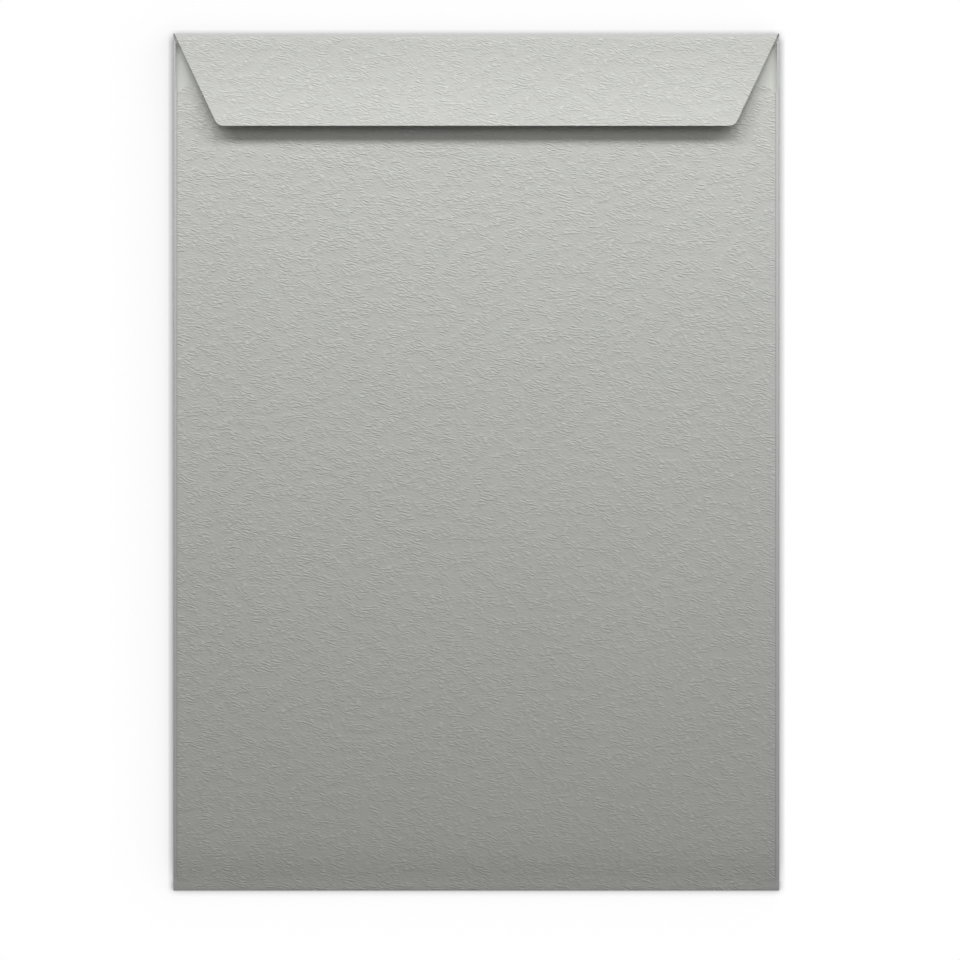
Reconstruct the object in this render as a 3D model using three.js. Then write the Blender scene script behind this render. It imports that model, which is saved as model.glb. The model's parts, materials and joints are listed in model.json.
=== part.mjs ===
// A side-seam pocket envelope of heavy felt-marked paper, with a slant-sided closing flap on its short side.
// Millimetres. It lies on its front panel: +X across, +Y towards the flap, +Z up, origin under its middle.
import * as THREE from "three";

// Outer size and paper
const envelopeWidth = 229;
const envelopeLength = 324;
const paperThickness = 0.2;
const pocketRoom = 1.3; // free height between the front panel and the side flaps

// Bottom of the pocket
const bottomFoldHeight = 0.8; // the bottom crease is pressed flatter than the pocket
const bottomRise = 15; // from the bottom fold line to where the back panel lies level
const cornerEar = 3.4; // the back panel keeps the full width this far above the bottom fold
const backInset = 1.6; // from a side fold line to the back panel's side edge

// Side seams
const sideFlapWidth = 16; // from a side fold line to the side flap's inner edge
const sideFlapBottomSlant = 4; // how much higher the flap's lower end is at its inner edge
const sideFlapTopSlant = 9; // how much lower the flap's upper end is at its inner edge
const sideFlapCover = 2; // the back panel reaches this far above the side flaps
const sideFoldTopRelief = 4; // from the top fold line down to the end of the side folds
const glueThickness = 0.1;
const glueMargin = 2.5; // from the glue line to the paper edges beside it
const glueEndMargin = 5; // from the glue line to the side flap's ends

// Mouth of the pocket
const throatDepth = 20; // from the top fold line to the back panel's upper edge
const throatCornerRadius = 5;

// Closing flap
const flapDepth = 36; // from the top fold line to the free edge, measured along the closed flap
const flapSideInset = 17.2; // from a side fold line to the free edge's end
const flapCornerRadius = 3.2;
const flapLiftDegrees = 8; // how far the flap stands open at rest

// Closure on the inside of the flap
const adhesiveWidth = 8;
const adhesiveThickness = 0.1;
const adhesiveEndMargin = 7; // from the strip's ends to the flap's free corners
const linerOverhang = 2; // the liner is wider than the strip by this much on each side
const linerEndOverhang = 4; // and longer by this much at each end
const linerThickness = 0.1;
const linerCornerRadius = 1;

// Clearances
const bondGap = 0.02; // between layers stuck on the tilted flap
const closedClearance = 0.15; // between the liner and the back panel with the flap shut
const creaseGap = 0.05; // between the top crease and the tilted flap

// Steps along the round stretches
const foldSteps = 12;
const cornerSteps = 8;
const quarterTurn = Math.PI / 2;

// Levels and places that follow from the sizes
const sideFoldHeight = pocketRoom + 2 * paperThickness;
const backLevel = sideFoldHeight + glueThickness; // underside of the back panel
const closureStack = adhesiveThickness + linerThickness + 2 * bondGap;
const closedGap = closureStack + closedClearance;
const topFoldRadius = (backLevel + paperThickness + closedGap + paperThickness) / 2;
const flapLift = THREE.MathUtils.degToRad(flapLiftDegrees);
const sideX = envelopeWidth / 2;
const topY = envelopeLength / 2;
const bottomY = -envelopeLength / 2;
const hingeY = topY - topFoldRadius;
const hingeZ = topFoldRadius;
const throatY = topY - throatDepth;
const riseEndY = bottomY + bottomRise;
const bottomCreaseY = bottomY + bottomFoldHeight / 2;
const sideFoldTopY = topY - sideFoldTopRelief;
const backSideX = sideX - backInset;
const foldInnerX = sideX - sideFoldHeight / 2; // where the flat panels meet the side folds
const flapInnerX = sideX - sideFlapWidth;

// Half the flap's width at a distance from the top fold line
function flapHalfWidth(distance) {
  return sideX - (flapSideInset * distance) / flapDepth;
}

// Materials
function paperMaterial() {
  return new THREE.MeshStandardMaterial({ color: "#bdbeb9", roughness: 0.92, metalness: 0 });
}

function glueMaterial() {
  return new THREE.MeshStandardMaterial({ color: "#d9d5c6", roughness: 0.5, metalness: 0 });
}

function adhesiveMaterial() {
  return new THREE.MeshStandardMaterial({ color: "#e3dfd0", roughness: 0.35, metalness: 0 });
}

function linerMaterial() {
  return new THREE.MeshStandardMaterial({ color: "#f1f0eb", roughness: 0.4, metalness: 0 });
}

function named(name, geometry, material) {
  const mesh = new THREE.Mesh(geometry, material);
  mesh.name = name;
  return mesh;
}

// Adds a corner to an outline as an arc that is tangent to the straight edges before and after it.
function roundCorner(shape, before, corner, after, radius) {
  const back = before.clone().sub(corner).normalize();
  const ahead = after.clone().sub(corner).normalize();
  const halfAngle = Math.acos(back.dot(ahead)) / 2;
  const middle = back.clone().add(ahead).normalize();
  const centre = corner.clone().addScaledVector(middle, radius / Math.sin(halfAngle));
  const reach = radius / Math.tan(halfAngle);
  const start = corner.clone().addScaledVector(back, reach).sub(centre).angle();
  const end = corner.clone().addScaledVector(ahead, reach).sub(centre).angle();
  shape.absarc(centre.x, centre.y, radius, start, end, back.cross(ahead) > 0);
}

// A flat sheet lying in the XY plane with its underside at a level, cut to a list of corners.
// A corner is [x, y] or [x, y, radius], and the first one isn't rounded.
function flatSheet(corners, thickness, level) {
  const points = corners.map(([x, y]) => new THREE.Vector2(x, y));
  const shape = new THREE.Shape();
  corners.forEach(([x, y, radius], i) => {
    const before = points[(i + points.length - 1) % points.length];
    const after = points[(i + 1) % points.length];
    if (radius) roundCorner(shape, before, points[i], after, radius);
    else if (i === 0) shape.moveTo(x, y);
    else shape.lineTo(x, y);
  });
  shape.closePath();
  const geometry = new THREE.ExtrudeGeometry(shape, {
    depth: thickness,
    bevelEnabled: false,
    curveSegments: cornerSteps,
  });
  return geometry.translate(0, 0, level);
}

// A strip of paper that runs across the envelope and bends along its other way.
// Each row gives half its width and the outer and inner faces' [y, z]. The rows follow one another
// so that +X turned onto their direction points out of the outer face.
function bentStrip(rows) {
  const positions = [];
  for (const { halfWidth, outer, inner } of rows) {
    positions.push(-halfWidth, ...outer, halfWidth, ...outer, halfWidth, ...inner, -halfWidth, ...inner);
  }
  const around = 4;
  const quad = (a, b, c, d) => [a, b, c, a, c, d];
  const faces = quad(0, 3, 2, 1);
  for (let row = 0; row < rows.length - 1; row += 1) {
    const here = row * around;
    for (let side = 0; side < around; side += 1) {
      const next = (side + 1) % around;
      faces.push(...quad(here + side, here + next, here + around + next, here + around + side));
    }
  }
  const last = (rows.length - 1) * around;
  faces.push(...quad(last, last + 1, last + 2, last + 3));
  const geometry = new THREE.BufferGeometry();
  geometry.setAttribute("position", new THREE.Float32BufferAttribute(positions, 3));
  geometry.setIndex(faces);
  geometry.computeVertexNormals();
  return geometry;
}

// Rows of a bent strip round a fold whose axis runs across the envelope
function foldRows(centreY, centreZ, radius, startAngle, endAngle, halfWidthAt) {
  return Array.from({ length: foldSteps + 1 }, (_, step) => {
    const angle = startAngle + ((endAngle - startAngle) * step) / foldSteps;
    const at = (r) => [centreY + r * Math.cos(angle), centreZ + r * Math.sin(angle)];
    return { halfWidth: halfWidthAt(angle), outer: at(radius), inner: at(radius - paperThickness) };
  });
}

// The front panel lies flat on the table. Its sides step in where the side folds begin.
function frontPanel() {
  const right = [
    [sideX, bottomCreaseY],
    [sideX, riseEndY],
    [foldInnerX, riseEndY],
    [foldInnerX, sideFoldTopY],
    [sideX, sideFoldTopY],
    [sideX, hingeY],
  ];
  const left = right.map(([x, y]) => [-x, y]).reverse();
  return named("front_panel", flatSheet([...right, ...left], paperThickness, 0), paperMaterial());
}

// The bottom crease is a tight half turn from the front panel up to the back panel.
function bottomFold() {
  const radius = bottomFoldHeight / 2;
  const rows = foldRows(bottomCreaseY, radius, radius, 3 * quarterTurn, quarterTurn, () => sideX);
  return named("bottom_fold", bentStrip(rows), paperMaterial());
}

// Above the bottom crease the back panel climbs to its level and narrows to its own width.
function backPanelBase() {
  const topLevel = backLevel + paperThickness;
  const slope = (topLevel - bottomFoldHeight) / (riseEndY - bottomCreaseY);
  const rowAt = (y, halfWidth) => {
    const z = bottomFoldHeight + slope * (y - bottomCreaseY);
    return { halfWidth, outer: [y, z], inner: [y, z - paperThickness] };
  };
  const rows = [
    rowAt(bottomCreaseY, sideX),
    rowAt(bottomY + cornerEar, sideX),
    rowAt(bottomY + cornerEar + backInset, backSideX),
    rowAt(riseEndY, backSideX),
  ];
  return named("back_panel_base", bentStrip(rows), paperMaterial());
}

// The back panel lies on the side flaps and stops at the throat with two rounded corners.
function backPanel() {
  const corners = [
    [-backSideX, riseEndY],
    [backSideX, riseEndY],
    [backSideX, throatY, throatCornerRadius],
    [-backSideX, throatY, throatCornerRadius],
  ];
  return named("back_panel", flatSheet(corners, paperThickness, backLevel), paperMaterial());
}

// A side fold is a half turn from the front panel up to a side flap. Side is 1 right, -1 left.
function sideFold(name, side) {
  const radius = sideFoldHeight / 2;
  const start = -side * quarterTurn;
  const end = start + 2 * quarterTurn;
  const shape = new THREE.Shape();
  shape.absarc(0, 0, radius, start, end, false);
  shape.absarc(0, 0, radius - paperThickness, end, start, true);
  shape.closePath();
  const geometry = new THREE.ExtrudeGeometry(shape, {
    depth: sideFoldTopY - riseEndY,
    bevelEnabled: false,
    curveSegments: foldSteps,
  });
  geometry.rotateX(quarterTurn); // the profile's Y becomes Z, and the length runs towards -Y
  geometry.translate(side * foldInnerX, sideFoldTopY, radius);
  return named(name, geometry, paperMaterial());
}

const sideFlapTopY = throatY - sideFlapCover;

// A side flap lies under the back panel, with both its ends cut at a slant.
function sideFlap(name, side) {
  const corners = [
    [side * foldInnerX, riseEndY],
    [side * foldInnerX, sideFlapTopY],
    [side * flapInnerX, sideFlapTopY - sideFlapTopSlant],
    [side * flapInnerX, riseEndY + sideFlapBottomSlant],
  ];
  const level = sideFoldHeight - paperThickness;
  return named(name, flatSheet(corners, paperThickness, level), paperMaterial());
}

// A line of glue holds the back panel down on a side flap.
function seamGlue(name, side) {
  const innerX = flapInnerX + glueMargin;
  const outerX = backSideX - glueMargin;
  const lowY = riseEndY + sideFlapBottomSlant + glueEndMargin;
  const highY = sideFlapTopY - sideFlapTopSlant - glueEndMargin;
  const corners = [
    [side * innerX, lowY],
    [side * outerX, lowY],
    [side * outerX, highY],
    [side * innerX, highY],
  ];
  return named(name, flatSheet(corners, glueThickness, sideFoldHeight), glueMaterial());
}

// The top crease turns from the front panel up and over to the flap, and narrows as the flap does.
function topFold() {
  const end = quarterTurn - flapLift;
  const halfWidthAt = (angle) => flapHalfWidth(topFoldRadius * Math.max(angle / end, 0));
  const rows = foldRows(hingeY, hingeZ, topFoldRadius, end, -quarterTurn, halfWidthAt);
  return named("top_fold", bentStrip(rows), paperMaterial());
}

// The closing flap, drawn shut and measured from the crease's axis
function closingFlap() {
  const startY = -creaseGap;
  const freeY = topFoldRadius - flapDepth;
  const startX = flapHalfWidth(topFoldRadius + creaseGap);
  const freeX = flapHalfWidth(flapDepth);
  const corners = [
    [startX, startY],
    [-startX, startY],
    [-freeX, freeY, flapCornerRadius],
    [freeX, freeY, flapCornerRadius],
  ];
  const level = topFoldRadius - paperThickness;
  return named("closing_flap", flatSheet(corners, paperThickness, level), paperMaterial());
}

// The strip of adhesive and its liner lie in the middle of what the shut flap covers of the back panel.
const closureY = topFoldRadius - (flapDepth + throatDepth) / 2;
const adhesiveHalfLength = flapHalfWidth(flapDepth) - adhesiveEndMargin;
const adhesiveLevel = topFoldRadius - paperThickness - bondGap - adhesiveThickness;
const linerLevel = adhesiveLevel - bondGap - linerThickness;

function adhesiveStrip() {
  const geometry = new THREE.BoxGeometry(2 * adhesiveHalfLength, adhesiveWidth, adhesiveThickness);
  geometry.translate(0, closureY, adhesiveLevel + adhesiveThickness / 2);
  return named("adhesive_strip", geometry, adhesiveMaterial());
}

function releaseLiner() {
  const halfLength = adhesiveHalfLength + linerEndOverhang;
  const halfWidth = adhesiveWidth / 2 + linerOverhang;
  const corners = [
    [0, closureY - halfWidth],
    [halfLength, closureY - halfWidth, linerCornerRadius],
    [halfLength, closureY + halfWidth, linerCornerRadius],
    [-halfLength, closureY + halfWidth, linerCornerRadius],
    [-halfLength, closureY - halfWidth, linerCornerRadius],
  ];
  return named("release_liner", flatSheet(corners, linerThickness, linerLevel), linerMaterial());
}

// The pocket is still, and the flap's group turns about the top crease's axis.
const pocket = new THREE.Group();
pocket.add(
  frontPanel(),
  bottomFold(),
  backPanelBase(),
  backPanel(),
  sideFold("left_side_fold", -1),
  sideFold("right_side_fold", 1),
  sideFlap("left_side_flap", -1),
  sideFlap("right_side_flap", 1),
  seamGlue("left_seam_glue", -1),
  seamGlue("right_seam_glue", 1),
  topFold(),
);

const flap = new THREE.Group();
flap.add(closingFlap(), adhesiveStrip(), releaseLiner());
flap.position.set(0, hingeY, hingeZ);
flap.rotation.x = -flapLift;

const envelope = new THREE.Group();
envelope.add(pocket, flap);

export default envelope;
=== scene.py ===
import json
import math

import bmesh
import bpy
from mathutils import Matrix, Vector


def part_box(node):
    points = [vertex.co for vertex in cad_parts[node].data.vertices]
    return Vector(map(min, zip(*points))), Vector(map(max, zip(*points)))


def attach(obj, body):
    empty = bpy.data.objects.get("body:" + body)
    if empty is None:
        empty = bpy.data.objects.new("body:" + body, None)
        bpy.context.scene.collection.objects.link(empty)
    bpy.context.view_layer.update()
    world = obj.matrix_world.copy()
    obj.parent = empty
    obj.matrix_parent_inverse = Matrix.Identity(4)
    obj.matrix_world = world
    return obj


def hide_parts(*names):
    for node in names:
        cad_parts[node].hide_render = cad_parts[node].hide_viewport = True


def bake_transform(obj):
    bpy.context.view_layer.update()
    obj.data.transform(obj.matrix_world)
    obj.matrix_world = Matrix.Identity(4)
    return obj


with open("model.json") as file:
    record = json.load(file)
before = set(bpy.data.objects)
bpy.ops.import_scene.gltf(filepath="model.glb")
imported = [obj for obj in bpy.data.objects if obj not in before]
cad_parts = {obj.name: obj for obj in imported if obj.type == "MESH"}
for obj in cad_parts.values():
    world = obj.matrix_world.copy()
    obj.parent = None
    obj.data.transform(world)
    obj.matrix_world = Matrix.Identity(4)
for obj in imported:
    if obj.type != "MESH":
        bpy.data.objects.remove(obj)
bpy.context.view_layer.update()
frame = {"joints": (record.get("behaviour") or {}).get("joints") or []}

MM = 0.001
NEAR = 1e-6

# Places taken from the frame, in metres
front_low, front_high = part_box("front_panel")
back_low, back_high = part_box("back_panel")
side_fold_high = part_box("right_side_fold")[1]
side_flap_low, side_flap_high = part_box("right_side_flap")
bottom_fold_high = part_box("bottom_fold")[1]
strip_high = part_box("adhesive_strip")[1]
liner_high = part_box("release_liner")[1]
flap_joint = next(joint for joint in frame["joints"] if joint["name"] == "flap_fold")

side_x = front_high.x
paper = front_high.z
side_fold_radius = side_fold_high.z / 2
side_fold_x = side_x - side_fold_radius
bottom_fold_radius = bottom_fold_high.z / 2
bottom_crease_y = front_low.y
rise_end_y = back_low.y
back_top_z = back_high.z
throat_y = back_high.y
hinge_y, hinge_z = flap_joint["pos_m"][1:]
top_fold_radius = hinge_z
flap_lift = -math.radians(flap_joint["range_deg"][0])

# The cuts of the sheet
flap_depth = 36 * MM
flap_side_inset = 17.2 * MM
flap_corner_radius = 3.2 * MM
throat_corner_radius = 5 * MM
corner_ear = 3.4 * MM
side_flap_slant_top = 9 * MM
side_fold_foot_y = bottom_crease_y + 3.2 * MM  # the side folds end under the back panel's ears
side_fold_top_y = hinge_y - 0.5 * MM
side_fold_slant = 1 * MM
side_fold_slit = 0.1 * MM  # how far the cut at the foot of a side fold opens
side_flap_slant_bottom = 14 * MM
throat_depth = 20 * MM
strip_width = 8 * MM
strip_thickness = 0.08 * MM
strip_corner = 1 * MM
liner_overhang = 2 * MM
bond_gap = 0.01 * MM
smooth_below = math.radians(40)
flap_curl = math.radians(2.4)  # the flap's free edge stands this much steeper than its root

# The lines that the sheets bend along
curl_lines = 8
fold_steps = 12
corner_steps = 8
grid_step = 5 * MM
seam_columns = 3
climb_lines = (2 * MM, 8 * MM)  # extra ones where the back panel climbs from the bottom crease

PATTERN = "sheet"


def open_for_edit(obj):
    """Opens one object in edit mode, with nothing in it selected."""
    bpy.ops.object.select_all(action="DESELECT")
    bpy.context.view_layer.objects.active = obj
    obj.select_set(True)
    bpy.ops.object.mode_set(mode="EDIT")
    bpy.ops.mesh.select_mode(type="VERT")
    bpy.ops.mesh.select_all(action="DESELECT")


def pick(obj, wanted):
    """Selects the vertices of the open object whose places are wanted."""
    mesh = bmesh.from_edit_mesh(obj.data)
    for vertex in mesh.verts:
        vertex.select_set(wanted(vertex.co))
    mesh.select_flush_mode()
    bmesh.update_edit_mesh(obj.data)


def flat_sheet(name, half_width, low_y, high_y):
    """Lays a rectangle of paper on the table, and leaves it open for edit."""
    bpy.ops.object.select_all(action="DESELECT")
    bpy.ops.mesh.primitive_plane_add(size=1, location=(0, (low_y + high_y) / 2, 0))
    sheet = bpy.context.object
    sheet.name = name
    sheet.data.name = name
    sheet.scale = (2 * half_width, high_y - low_y, 1)
    bpy.ops.object.transform_apply(location=True, rotation=False, scale=True)
    open_for_edit(sheet)
    return sheet


def extend(sheet, wanted, move):
    """Draws new paper out of an edge. What it adds stays selected at its far side."""
    pick(sheet, wanted)
    bpy.ops.mesh.extrude_region_move(TRANSFORM_OT_translate={"value": move})


def nudge(sheet, wanted, move):
    """Moves some points of the open sheet."""
    pick(sheet, wanted)
    bpy.ops.transform.translate(value=move)


def cut_lines(axis, lines):
    """Cuts the open flat sheet along lines that run across it (axis X) or along it (axis Y)."""
    normal = Vector((0, 1, 0)) if axis == "X" else Vector((1, 0, 0))
    for line in lines:
        bpy.ops.mesh.select_all(action="SELECT")
        bpy.ops.mesh.bisect(plane_co=normal * line, plane_no=normal, threshold=NEAR)


def grid_lines(low, high):
    """Evenly spaced lines between two edges."""
    count = round((high - low) / grid_step)
    return [low + (high - low) * part / count for part in range(1, count)]


def fold_lines(start, direction, radius, turn):
    """Where the flat sheet bends so that a half-round fold of a radius starts at a line."""
    width = 2 * radius * math.tan(turn / fold_steps / 2)
    return [start + direction * width * (step + 0.5) for step in range(fold_steps)]


def fold_width(radius, turn):
    """How much of the flat sheet such a fold takes."""
    return 2 * radius * math.tan(turn / fold_steps / 2) * fold_steps


def keep_flat_places(sheet):
    """Turns the outer face down and stores where each point lies on the flat sheet, in metres."""
    mesh = bmesh.from_edit_mesh(sheet.data)
    mesh.normal_update()
    for face in mesh.faces:
        face.select_set(face.normal.z > 0)
    bmesh.update_edit_mesh(sheet.data)
    bpy.ops.mesh.flip_normals()
    mesh = bmesh.from_edit_mesh(sheet.data)
    flat = mesh.loops.layers.uv.get(PATTERN) or mesh.loops.layers.uv.new(PATTERN)
    for face in mesh.faces:
        for loop in face.loops:
            loop[flat].uv = loop.vert.co.xy
    bmesh.update_edit_mesh(sheet.data)


def fold(sheet, axis, beyond, bends):
    """Bends the flat sheet towards its inner face at one line after another.
    Each bend is a line of the flat sheet and an angle, and what lies beyond the line turns."""
    across = 1 if axis == "X" else 0
    reached = place = bends[0][0]
    height = heading = 0
    for line, angle in bends:
        run = abs(line - reached)
        place += beyond * run * math.cos(heading)
        height += run * math.sin(heading)
        mesh = bmesh.from_edit_mesh(sheet.data)
        flat = mesh.loops.layers.uv[PATTERN]
        for vertex in mesh.verts:
            vertex.select_set(beyond * (vertex.link_loops[0][flat].uv[across] - line) > -NEAR)
        mesh.select_flush_mode()
        bmesh.update_edit_mesh(sheet.data)
        pivot = (0, place, height) if axis == "X" else (place, 0, height)
        turn = -angle * beyond if axis == "X" else angle * beyond
        bpy.ops.transform.rotate(value=turn, orient_axis=axis, center_override=pivot)
        heading += angle
        reached = line


def finish_sheet(sheet, thickness, materials):
    """Gives the folded paper its thickness, smooth folds and finish."""
    bpy.ops.object.mode_set(mode="OBJECT")
    wall = sheet.modifiers.new("thickness", "SOLIDIFY")
    wall.thickness = thickness
    wall.offset = -1
    wall.use_even_offset = True
    if len(materials) > 1:
        wall.material_offset = 1
        wall.material_offset_rim = 2
    for material in materials:
        sheet.data.materials.append(material)
    bpy.ops.object.modifier_apply(modifier="thickness")
    bpy.ops.object.shade_smooth_by_angle(angle=smooth_below)


def rise(y):
    """How far up its climb the back panel is at a place above the bottom crease, from 0 to 1."""
    share = min(max((y - bottom_crease_y) / (rise_end_y - bottom_crease_y), 0), 1)
    return share * share * (3 - 2 * share)


def front_paper(materials):
    """The front panel with its side flaps, which fold up and inwards."""
    sheet = flat_sheet("front_paper", side_fold_x, bottom_crease_y, hinge_y)
    cut_lines("X", [side_fold_foot_y, side_fold_top_y])
    strip = fold_width(side_fold_radius, math.pi)
    strip_x = side_fold_x + strip
    flap_width = side_fold_x - side_flap_low.x
    flap_x = strip_x + flap_width
    for side in (1, -1):
        on_fold = lambda at: abs(at.x - side * side_fold_x) < NEAR
        above = lambda at: on_fold(at) and at.y > side_fold_top_y - NEAR
        below = lambda at: on_fold(at) and at.y < side_fold_foot_y + NEAR
        between = lambda at: on_fold(at) and side_fold_foot_y - NEAR < at.y < side_fold_top_y + NEAR
        extend(sheet, above, (side * side_fold_radius, 0, 0))
        extend(sheet, below, (side * side_fold_radius, 0, 0))
        extend(sheet, between, (side * strip, 0, 0))
        top_of_strip = lambda at: abs(at.x - side * strip_x) < NEAR and at.y > 0
        foot_of_strip = lambda at: abs(at.x - side * strip_x) < NEAR and at.y < 0
        nudge(sheet, top_of_strip, (0, -side_fold_slant, 0))
        nudge(sheet, foot_of_strip, (0, side_fold_slit, 0))
    cut_lines("X", [side_flap_high.y])
    for side in (1, -1):
        on_strip = lambda at: abs(at.x - side * strip_x) < NEAR
        flap_root = lambda at: on_strip(at) and at.y < side_flap_high.y + NEAR
        extend(sheet, flap_root, (side * flap_width, 0, 0))
        on_end = lambda at: abs(at.x - side * flap_x) < NEAR
        nudge(sheet, lambda at: on_end(at) and at.y > 0, (0, -side_flap_slant_top, 0))
        nudge(sheet, lambda at: on_end(at) and at.y < 0, (0, side_flap_slant_bottom, 0))
    cut_lines("X", grid_lines(bottom_crease_y, hinge_y))
    cut_lines("Y", grid_lines(-side_fold_x, side_fold_x))
    for side in (1, -1):
        cut_lines("Y", fold_lines(side * side_fold_x, side, side_fold_radius, math.pi))
        columns = [strip_x + flap_width * part / seam_columns for part in range(seam_columns)]
        cut_lines("Y", [side * column for column in columns])
    keep_flat_places(sheet)
    for side in (1, -1):
        lines = fold_lines(side * side_fold_x, side, side_fold_radius, math.pi)
        fold(sheet, "Y", side, [(line, math.pi / fold_steps) for line in lines])
    # Towards the foot the side folds and flaps lie lower, to stay under the back panel's climb
    rows = sorted({round(vertex.co.y, 6) for vertex in bmesh.from_edit_mesh(sheet.data).verts})
    for row in rows:
        if row < rise_end_y:
            climb = (back_top_z - bottom_fold_high.z) * rise(row)
            room = bottom_fold_high.z + climb - back_top_z
            lowered = 1 + room / side_fold_high.z
            pick(sheet, lambda at: abs(at.y - row) < NEAR)
            bpy.ops.transform.resize(value=(1, 1, lowered), center_override=(0, row, 0))
    finish_sheet(sheet, paper, materials)
    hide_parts("front_panel", "left_side_fold", "right_side_fold", "left_side_flap",
                "right_side_flap")
    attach(sheet, "pocket")


def back_paper(materials):
    """The back panel with the bottom crease, from which it climbs over the side flaps."""
    crease_end = bottom_crease_y - fold_width(bottom_fold_radius, math.pi)
    ear_y = crease_end - (corner_ear - bottom_fold_radius)
    inset = side_x - back_high.x
    end_y = crease_end - (throat_y - bottom_crease_y)
    sheet = flat_sheet("back_paper", back_high.x, end_y, ear_y - inset)
    extend(sheet, lambda at: at.y > ear_y - inset - NEAR, (0, inset, 0))
    bpy.ops.transform.resize(value=(side_x / back_high.x, 1, 1), center_override=(0, ear_y, 0))
    extend(sheet, lambda at: at.y > ear_y - NEAR, (0, bottom_crease_y - ear_y, 0))
    pick(sheet, lambda at: at.y < end_y + NEAR)
    bpy.ops.mesh.bevel(affect="VERTICES", offset=throat_corner_radius,
                       segments=corner_steps, profile=0.5)
    cut_lines("X", grid_lines(end_y, crease_end))
    cut_lines("X", [crease_end - line for line in climb_lines])
    cut_lines("Y", grid_lines(-back_high.x, back_high.x))
    lines = fold_lines(bottom_crease_y, -1, bottom_fold_radius, math.pi)
    cut_lines("X", lines)
    keep_flat_places(sheet)
    fold(sheet, "X", -1, [(line, math.pi / fold_steps) for line in lines])
    pick(sheet, lambda at: at.y > rise_end_y - NEAR)
    bpy.ops.transform.translate(
        value=(0, 0, back_top_z - bottom_fold_high.z), use_proportional_edit=True,
        proportional_edit_falloff="SMOOTH", proportional_size=rise_end_y - bottom_crease_y)
    finish_sheet(sheet, paper, materials)
    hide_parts("back_panel", "back_panel_base", "bottom_fold")
    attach(sheet, "pocket")


top_turn = math.pi - flap_lift + flap_curl / 2
top_fold_end = hinge_y + fold_width(top_fold_radius, top_turn)
flap_end = top_fold_end + flap_depth - top_fold_radius


def fold_flap(sheet):
    """Folds the open flat sheet over the top crease and gives it the flap's light curl."""
    crease_lines = fold_lines(hinge_y, 1, top_fold_radius, top_turn)
    folds = [(line, top_turn / fold_steps) for line in crease_lines]
    spacing = (flap_end - top_fold_end) / curl_lines
    bend = -flap_curl / curl_lines
    curls = [(top_fold_end + spacing * (part + 0.5), bend) for part in range(curl_lines)]
    cut_lines("X", [line for line, angle in folds + curls])
    keep_flat_places(sheet)
    fold(sheet, "X", 1, folds + curls)


def flap_paper(materials):
    """The closing flap with the top crease."""
    slant_y = hinge_y + fold_width(top_fold_radius, top_turn) / 2
    sheet = flat_sheet("flap_paper", side_x, hinge_y, slant_y)
    extend(sheet, lambda at: at.y > slant_y - NEAR, (0, flap_end - slant_y, 0))
    narrowed = 1 - flap_side_inset / side_x
    bpy.ops.transform.resize(value=(narrowed, 1, 1), center_override=(0, flap_end, 0))
    half_corner = (math.pi / 2 + math.atan(flap_side_inset / flap_depth)) / 2
    bpy.ops.mesh.bevel(affect="VERTICES", offset=flap_corner_radius / math.tan(half_corner),
                       segments=corner_steps, profile=0.5)
    cut_lines("Y", grid_lines(-side_x, side_x))
    fold_flap(sheet)
    finish_sheet(sheet, paper, materials)
    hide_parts("closing_flap", "top_fold")
    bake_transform(sheet)


def closure_strip(name, half_length, half_width, depth):
    """A thin strip stuck to the inside of the flap, as deep below its outer face as given."""
    middle = flap_end - (flap_depth - throat_depth) / 2
    sheet = flat_sheet(name, half_length, middle - half_width, middle + half_width)
    bpy.ops.mesh.select_all(action="SELECT")
    bpy.ops.mesh.bevel(affect="VERTICES", offset=strip_corner, segments=corner_steps, profile=0.5)
    cut_lines("Y", grid_lines(-half_length, half_length))
    fold_flap(sheet)
    bpy.ops.mesh.select_all(action="SELECT")
    bpy.ops.transform.shrink_fatten(value=-depth)
    return sheet


def tacky_strip(materials):
    """The closure's adhesive, along the flap's inner face."""
    sheet = closure_strip("tacky_strip", strip_high.x, strip_width / 2, paper + bond_gap)
    finish_sheet(sheet, strip_thickness, materials)
    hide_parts("adhesive_strip")
    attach(sheet, "flap")


def liner_strip(materials):
    """The release liner over the adhesive, which it covers with a rim to spare."""
    depth = paper + strip_thickness + 2 * bond_gap
    sheet = closure_strip("liner_strip", liner_high.x, strip_width / 2 + liner_overhang, depth)
    finish_sheet(sheet, strip_thickness, materials)
    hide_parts("release_liner")
    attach(sheet, "liner")


def linear(hex_colour):
    """Turns an sRGB hex colour into the linear one that sockets take."""
    parts = [int(hex_colour[start:start + 2], 16) / 255 for start in (1, 3, 5)]
    return [part / 12.92 if part <= 0.04045 else ((part + 0.055) / 1.055) ** 2.4 for part in parts] + [1]


def node(tree, kind, inputs=None, **settings):
    """Adds a node. An input is a value, or the node or socket that is linked to it."""
    made = tree.nodes.new(kind)
    for name, value in settings.items():
        setattr(made, name, value)
    for name, value in (inputs or {}).items():
        live = [socket for socket in made.inputs if socket.enabled]
        named = [socket for socket in live if socket.name == name]
        taker = named[0] if named else live[name]
        if isinstance(value, bpy.types.Node):
            value = next(socket for socket in value.outputs if socket.enabled)
        if isinstance(value, bpy.types.NodeSocket):
            tree.links.new(value, taker)
        else:
            taker.default_value = value
    return made


def new_material(name):
    """A material with no nodes yet, and its node tree."""
    material = bpy.data.materials.new(name)
    material.use_nodes = True
    material.node_tree.nodes.clear()
    return material, material.node_tree


def flat_place(tree):
    """Where a point lies on the flat sheet in millimetres, so that a noise's scale is 1 over its grain."""
    flat = node(tree, "ShaderNodeUVMap", uv_map=PATTERN)
    return node(tree, "ShaderNodeVectorMath", {"Vector": flat, "Scale": 1 / MM}, operation="SCALE")


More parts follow.
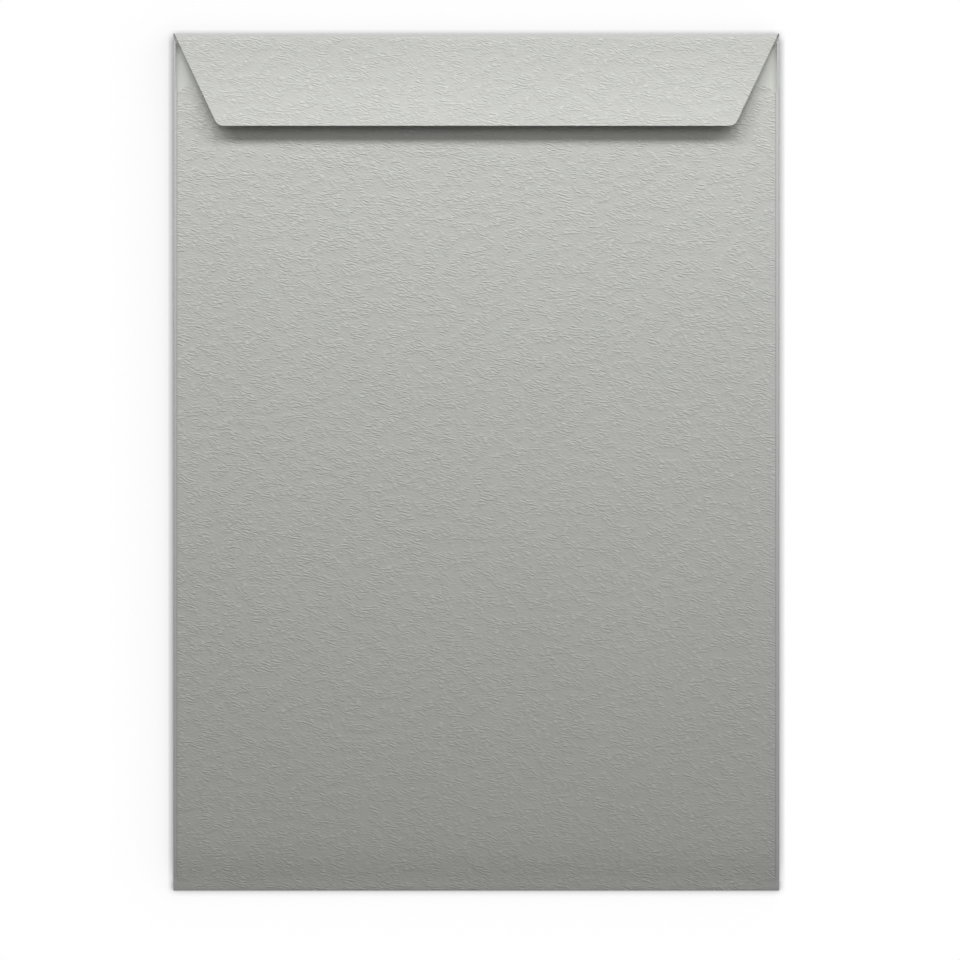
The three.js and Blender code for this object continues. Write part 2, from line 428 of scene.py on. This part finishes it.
def within(tree, *limits):
    """1 inside soft limits and 0 outside. A limit is a value, and where it is outside and where inside."""
    inside = None
    for value, (outside_at, inside_at) in limits:
        step = node(tree, "ShaderNodeMapRange",
                    {"Value": value, "From Min": outside_at, "From Max": inside_at},
                    interpolation_type="SMOOTHSTEP")
        if inside:
            step = node(tree, "ShaderNodeMath", {0: inside, 1: step}, operation="MULTIPLY")
        inside = step
    return inside


def folded_places(tree, place):
    """Where the paper is rubbed smooth along its sides, at its top crease and at the ears of its foot, where
    the painted shadow line beside the back panel's cut sides runs, and how near the flap's paper is to its
    crease, each from 0 to 1; the crease and the flap's root also carry painted shade. A pair is one soft edge
    in millimetres: where the place ends and where it is full."""
    parts = node(tree, "ShaderNodeSeparateXYZ", {"Vector": place})
    side = node(tree, "ShaderNodeMath", {0: parts.outputs["X"]}, operation="ABSOLUTE")
    along = parts.outputs["Y"]
    corner = side_x / MM
    crease = hinge_y / MM
    foot = bottom_crease_y / MM
    throat = throat_y / MM
    fold_rim = (corner - 1.5, corner - 1.2)
    below_crease = (crease, crease - 1)
    crease_start = (crease - 1, crease)
    crease_end = (crease + 5, crease + 3)
    foot_start = (foot - 5.5, foot - 4.2)
    foot_end = (foot + 2, foot + 1)
    ear = (corner - 7, corner - 4)
    line_start = (corner + 2, corner + 2.6)
    below_throat = (throat + 2, throat)
    flap_root = (crease, crease + 1)
    up_the_flap = (crease + flap_depth / MM, crease + 4)
    at_sides = within(tree, (side, fold_rim), (along, below_crease))
    at_crease = within(tree, (along, crease_start), (along, crease_end))
    at_ears = within(tree, (along, foot_start), (along, foot_end), (side, ear))
    # A painted contact shadow: a grey line on the side flaps just beside the back panel's cut sides, where
    # the gap between them lies in shade.
    shade_line_beside_panel = within(tree, (side, line_start), (along, below_throat))
    near_crease = within(tree, (along, flap_root), (along, up_the_flap))
    return at_sides, at_crease, at_ears, shade_line_beside_panel, near_crease


def felt_strokes(tree, place):
    """The felt's own print: short thin strokes in millimetres, a little tilted, that wander as wool does."""
    tilt = math.radians(15)
    length, width = 1.9, 0.52
    wander, wander_grain = 0.8, 4
    drift = node(tree, "ShaderNodeTexNoise", {"Vector": place, "Scale": 1 / wander_grain, "Detail": 1},
                 noise_dimensions="2D")
    centred = node(tree, "ShaderNodeVectorMath", {0: drift.outputs["Color"], 1: (0.5, 0.5, 0.5)},
                   operation="SUBTRACT")
    bent = node(tree, "ShaderNodeVectorMath", {0: centred, 1: (wander, wander, 0), 2: place},
                operation="MULTIPLY_ADD")
    drawn = node(tree, "ShaderNodeMapping",
                 {"Vector": bent, "Rotation": (0, 0, tilt), "Scale": (length, width, 1)},
                 vector_type="TEXTURE")
    return node(tree, "ShaderNodeTexNoise", {"Vector": drawn, "Scale": 1, "Detail": 0.3},
                noise_dimensions="2D")


def felt_depth(tree, place, rubbed):
    """How deep the felt marks are pressed, from 0 to 1: in patches, and faint where folding rubbed them."""
    patch_grain = 5
    faint_up_to, full_from = 0.35, 0.6
    faintest, left_by_rubbing = 0.3, 0.12
    patchy = node(tree, "ShaderNodeTexNoise", {"Vector": place, "Scale": 1 / patch_grain, "Detail": 1},
                  noise_dimensions="2D")
    patches = node(tree, "ShaderNodeMapRange",
                   {"Value": patchy, "From Min": faint_up_to, "From Max": full_from,
                    "To Min": faintest, "To Max": 1},
                   interpolation_type="SMOOTHSTEP")
    kept = node(tree, "ShaderNodeMapRange", {"Value": rubbed, "To Min": 1, "To Max": left_by_rubbing})
    return node(tree, "ShaderNodeMath", {0: patches, 1: kept}, operation="MULTIPLY")


def felt_tone(tree, place, strokes, depth):
    """The grey of the sheet: faint clouds of pulp, stroke crests painted paler, partly the fibres' own tone
    and partly a painted highlight on the ridges, and a few loose pale fibres.
    """
    cloud_grain, fleck_grain = 38, 0.42
    fleck_from, fleck_full, fleck_gain = 0.8, 0.86, 3
    crest_from, crest_full = 0.56, 0.8
    clouds = node(tree, "ShaderNodeTexNoise", {"Vector": place, "Scale": 1 / cloud_grain, "Detail": 3},
                  noise_dimensions="2D")
    pulp = node(tree, "ShaderNodeMix", {"Factor": clouds, "A": linear("#bbbcb7"), "B": linear("#bfc0bb")},
                data_type="RGBA")
    specks = node(tree, "ShaderNodeTexNoise", {"Vector": place, "Scale": 1 / fleck_grain, "Detail": 0},
                  noise_dimensions="2D")
    flecks = node(tree, "ShaderNodeMapRange",
                  {"Value": specks, "From Min": fleck_from, "From Max": fleck_full, "To Max": fleck_gain},
                  interpolation_type="SMOOTHSTEP")
    # Partly a painted highlight: the stroke crests are made paler, as the ridges' sheen would light them.
    crests = node(tree, "ShaderNodeMapRange",
                  {"Value": strokes, "From Min": crest_from, "From Max": crest_full},
                  interpolation_type="SMOOTHSTEP")
    pale = node(tree, "ShaderNodeMath", {0: crests, 1: depth, 2: flecks}, operation="MULTIPLY_ADD")
    return node(tree, "ShaderNodeMix", {"Factor": pale, "A": pulp, "B": linear("#c8c9c4")}, data_type="RGBA")


def felt_marked_paper():
    """Heavy uncoated paper, its outer face marked by a felt: short thin strokes in a matt grey sheet. The eye
    gets a soft woolly relief in patches, which fades along the folds, where handling rubs it smooth. The flap
    is painted a little darker towards its crease, a painted shade that stands in for the larger curl which
    turns a real flap's root away from the light; the top crease's crest and a line beside the back panel's
    cut sides carry painted shade too."""
    material, tree = new_material("felt_paper")
    stroke_relief = 0.29 * MM
    place = flat_place(tree)
    at_sides, at_crease, at_ears, shade_line_beside_panel, near_crease = folded_places(tree, place)
    rubbed = node(tree, "ShaderNodeMath", {0: at_sides, 1: at_crease}, operation="MAXIMUM")
    rubbed = node(tree, "ShaderNodeMath", {0: rubbed, 1: at_ears}, operation="MAXIMUM")
    strokes = felt_strokes(tree, place)
    depth = felt_depth(tree, place, rubbed)
    height = node(tree, "ShaderNodeMath", {0: strokes, 1: depth}, operation="MULTIPLY")
    relief = node(tree, "ShaderNodeBump", {"Height": height, "Strength": 1, "Distance": stroke_relief})
    tone = felt_tone(tree, place, strokes, depth)
    # Mixed-in tones: a neutral grey where the sides are rubbed smooth; painted shade on the top crease's
    # rounded crest, darker to tone down the light it catches; and a painted contact shadow as a grey line
    # beside the back panel's cut sides.
    for share, colour in ((at_sides, "#bebebf"), (at_crease, "#b0b0b0"), (shade_line_beside_panel, "#a8a8a6")):
        tone = node(tree, "ShaderNodeMix", {"Factor": share, "A": tone, "B": linear(colour)},
                    data_type="RGBA")
    # Painted shade: the flap is made a little darker towards its crease, in place of a real flap's stronger
    # curl away from the light.
    flap_tone_with_painted_shade = node(tree, "ShaderNodeMix", {"Factor": near_crease, "A": tone, "B": linear("#f2f2f2")},
                  data_type="RGBA", blend_type="MULTIPLY")
    surface(tree, {"Base Color": flap_tone_with_painted_shade, "Roughness": 0.8, "Normal": relief})
    return material


def surface(tree, inputs):
    """Ends a material in its shader."""
    shader = node(tree, "ShaderNodeBsdfPrincipled", inputs)
    node(tree, "ShaderNodeOutputMaterial", {"Surface": shader})


def two_tones(tree, pattern, tones, relief, roughness):
    """Ends a material in two tones and a relief, in millimetres, that follow the same pattern."""
    tone = node(tree, "ShaderNodeMix", {"Factor": pattern, "A": linear(tones[0]), "B": linear(tones[1])},
                data_type="RGBA")
    bumps = node(tree, "ShaderNodeBump", {"Height": pattern, "Strength": 1, "Distance": relief * MM})
    surface(tree, {"Base Color": tone, "Roughness": roughness, "Normal": bumps})


def smooth_paper():
    """The same paper's inner face, a little paler, smooth and matt, with a faint cloud of fibres."""
    material, tree = new_material("smooth_inside_paper")
    fibre_grain = 0.9
    fibres = node(tree, "ShaderNodeTexNoise",
                  {"Vector": flat_place(tree), "Scale": 1 / fibre_grain, "Detail": 2}, noise_dimensions="2D")
    two_tones(tree, fibres, ("#cacbc6", "#d2d4ce"), relief=0.05, roughness=0.85)
    return material


def cut_paper_edge():
    """The cut edge, painted paler than the faces: partly the torn fibre ends' own tone, partly a painted
    highlight along the rim where they catch more light.
    """
    material, tree = new_material("cut_paper_edge")
    fray_grain = 0.3
    fray = node(tree, "ShaderNodeTexNoise",
                {"Vector": flat_place(tree), "Scale": 1 / fray_grain, "Detail": 2}, noise_dimensions="2D")
    two_tones(tree, fray, ("#c8c9c4", "#dcddd8"), relief=0.08, roughness=0.95)
    return material


def tacky_film():
    """Peel-and-seal glue: a glossy, faintly milky film with small dents."""
    material, tree = new_material("tacky_film")
    dent_grain = 1.8
    dents = node(tree, "ShaderNodeTexNoise",
                 {"Vector": flat_place(tree), "Scale": 1 / dent_grain, "Detail": 2}, noise_dimensions="2D")
    two_tones(tree, dents, ("#c2c3b8", "#d4d4ca"), relief=0.1, roughness=0.22)
    return material


def coated_liner():
    """Silicone-coated release paper: paler than the envelope, with a satin shine and a faint cockle."""
    material, tree = new_material("coated_liner")
    cockle_grain = 6
    cockle = node(tree, "ShaderNodeTexNoise",
                  {"Vector": flat_place(tree), "Scale": 1 / cockle_grain, "Detail": 2}, noise_dimensions="2D")
    shine = node(tree, "ShaderNodeMapRange",
                 {"Value": cockle, "From Min": 0.3, "From Max": 0.7, "To Min": 0.52, "To Max": 0.62})
    two_tones(tree, cockle, ("#cdcdc7", "#d8d8d2"), relief=0.12, roughness=shine)
    return material


def dried_paste():
    """Dried seam paste: yellowish and half matt, with brush marks along the seam."""
    material, tree = new_material("dried_seam_paste")
    mark_width, mark_length = 0.4 * MM, 6.25 * MM
    spot = node(tree, "ShaderNodeTexCoord")
    brushed = node(tree, "ShaderNodeMapping",
                   {"Vector": spot.outputs["Object"], "Scale": (mark_width, mark_length, mark_width)},
                   vector_type="TEXTURE")
    marks = node(tree, "ShaderNodeTexNoise", {"Vector": brushed, "Scale": 1, "Detail": 2})
    two_tones(tree, marks, ("#cfc9ae", "#ddd9c4"), relief=0.05, roughness=0.5)
    return material


def seen_by_eye(tree):
    """1 for rays that show the surface itself, to the camera or in a reflection."""
    path = node(tree, "ShaderNodeLightPath")
    seen = path.outputs["Is Camera Ray"]
    for ray in ("Is Glossy Ray", "Is Transmission Ray"):
        seen = node(tree, "ShaderNodeMath", {0: seen, 1: path.outputs[ray]}, operation="MAXIMUM")
    return seen


def contact_shade(tree):
    """How much white the object leaves to the floor beside it. Each reading of the sky leans to a side,
    reaches as far as given in millimetres and counts as strongly as its power says."""
    readings = (
        ((2.84, 0.38, 0), 2.43, 0.75),
        ((-1.68, 0.23, 0), 2.59, 0.98),
        ((0, 0, 0), 2.77, -0.7),
        ((0.6, 0.2, 0), 25, 0.61),
    )
    geometry = node(tree, "ShaderNodeNewGeometry")
    shade = None
    for leaning, reach, power in readings:
        leant = node(tree, "ShaderNodeVectorMath", {0: geometry.outputs["Normal"], 1: leaning},
                     operation="ADD")
        towards = node(tree, "ShaderNodeVectorMath", {0: leant}, operation="NORMALIZE")
        sky = node(tree, "ShaderNodeAmbientOcclusion", {"Distance": reach * MM, "Normal": towards},
                   samples=12)
        part = node(tree, "ShaderNodeMath", {0: sky.outputs["AO"], 1: power}, operation="POWER")
        if shade:
            part = node(tree, "ShaderNodeMath", {0: shade, 1: part}, operation="MULTIPLY")
        shade = part
    return shade


def white_floor():
    """A pale table that shows white to the eye, with the object's soft shadow in it."""
    material, tree = new_material("white_floor")
    just_below = -0.05 * MM
    white = node(tree, "ShaderNodeEmission", {"Strength": contact_shade(tree)})
    board = node(tree, "ShaderNodeBsdfDiffuse", {"Color": linear("#e8e8e8")})
    mixed = node(tree, "ShaderNodeMixShader", {0: seen_by_eye(tree), 1: board, 2: white})
    node(tree, "ShaderNodeOutputMaterial", {"Surface": mixed})
    bpy.ops.object.select_all(action="DESELECT")
    bpy.ops.mesh.primitive_plane_add(size=8, location=(0, 0, just_below))
    floor = bpy.context.object
    floor.name = "floor"
    floor.data.materials.append(material)


def plain_room():
    """A weak even fill from all around, which shows white to the eye."""
    fill_strength = 0.155
    world = bpy.data.worlds.new("studio")
    bpy.context.scene.world = world
    world.use_nodes = True
    tree = world.node_tree
    tree.nodes.clear()
    fill = node(tree, "ShaderNodeBackground", {"Color": (1, 1, 1, 1), "Strength": fill_strength})
    white = node(tree, "ShaderNodeBackground", {"Color": (1, 1, 1, 1), "Strength": 1})
    mixed = node(tree, "ShaderNodeMixShader", {0: seen_by_eye(tree), 1: fill, 2: white})
    node(tree, "ShaderNodeOutputWorld", {"Surface": mixed})


def soft_lamps():
    """A bar of soft lamps behind the envelope's top, as a long low window would light it."""
    lamps = 5
    apart = 0.66
    bar_middle = Vector((0.08, 1.18, 0.89))
    lean = math.radians(-43.2)
    widened = (10, 1, 1)  # a cone this much wider than high, so that the light is even from side to side
    for number in range(lamps):
        aside = Vector((apart * (number - (lamps - 1) / 2), 0, 0))
        bpy.ops.object.light_add(type="SPOT", location=bar_middle + aside, rotation=(lean, 0, 0))
        lamp = bpy.context.object
        lamp.name = f"soft_lamp_{number + 1}"
        lamp.scale = widened
        lamp.data.shadow_soft_size = 0.27
        lamp.data.spot_size = math.radians(32)
        lamp.data.spot_blend = 1
        lamp.data.energy = 36


def high_lamp():
    """A large soft lamp higher up, so that the flap's shadow fades from its edge outwards."""
    bpy.ops.object.light_add(type="SPOT", location=(0.08, 0.55, 1.2), rotation=(math.radians(-15), 0, 0))
    lamp = bpy.context.object
    lamp.name = "high_lamp"
    lamp.data.shadow_soft_size = 0.35
    lamp.data.spot_size = math.radians(52)
    lamp.data.spot_blend = 1
    lamp.data.energy = 14


def camera():
    """Looks straight down, from as far as a long lens needs to take in the photograph's width."""
    lens = 135
    sensor = 36
    view_width = 0.3631
    view_middle = Vector((1.4 * MM, -6.8 * MM, 0))
    distance = Vector((0, 0, view_width * lens / sensor))
    bpy.ops.object.camera_add(location=view_middle + distance, rotation=(0, 0, 0))
    made = bpy.context.object
    made.data.lens = lens
    made.data.sensor_width = sensor
    made.data.clip_end = 20
    bpy.context.scene.camera = made


paper_finish = [felt_marked_paper(), smooth_paper(), cut_paper_edge()]
front_paper(paper_finish)
back_paper(paper_finish)
flap_paper(paper_finish)
tacky_strip([tacky_film()])
liner_strip([coated_liner()])
paste = dried_paste()
for seam in ("left_seam_glue", "right_seam_glue"):
    for place in bpy.data.objects[seam].material_slots:
        place.material = paste
white_floor()
plain_room()
soft_lamps()
high_lamp()
camera()
bpy.context.scene.view_settings.view_transform = "Standard"
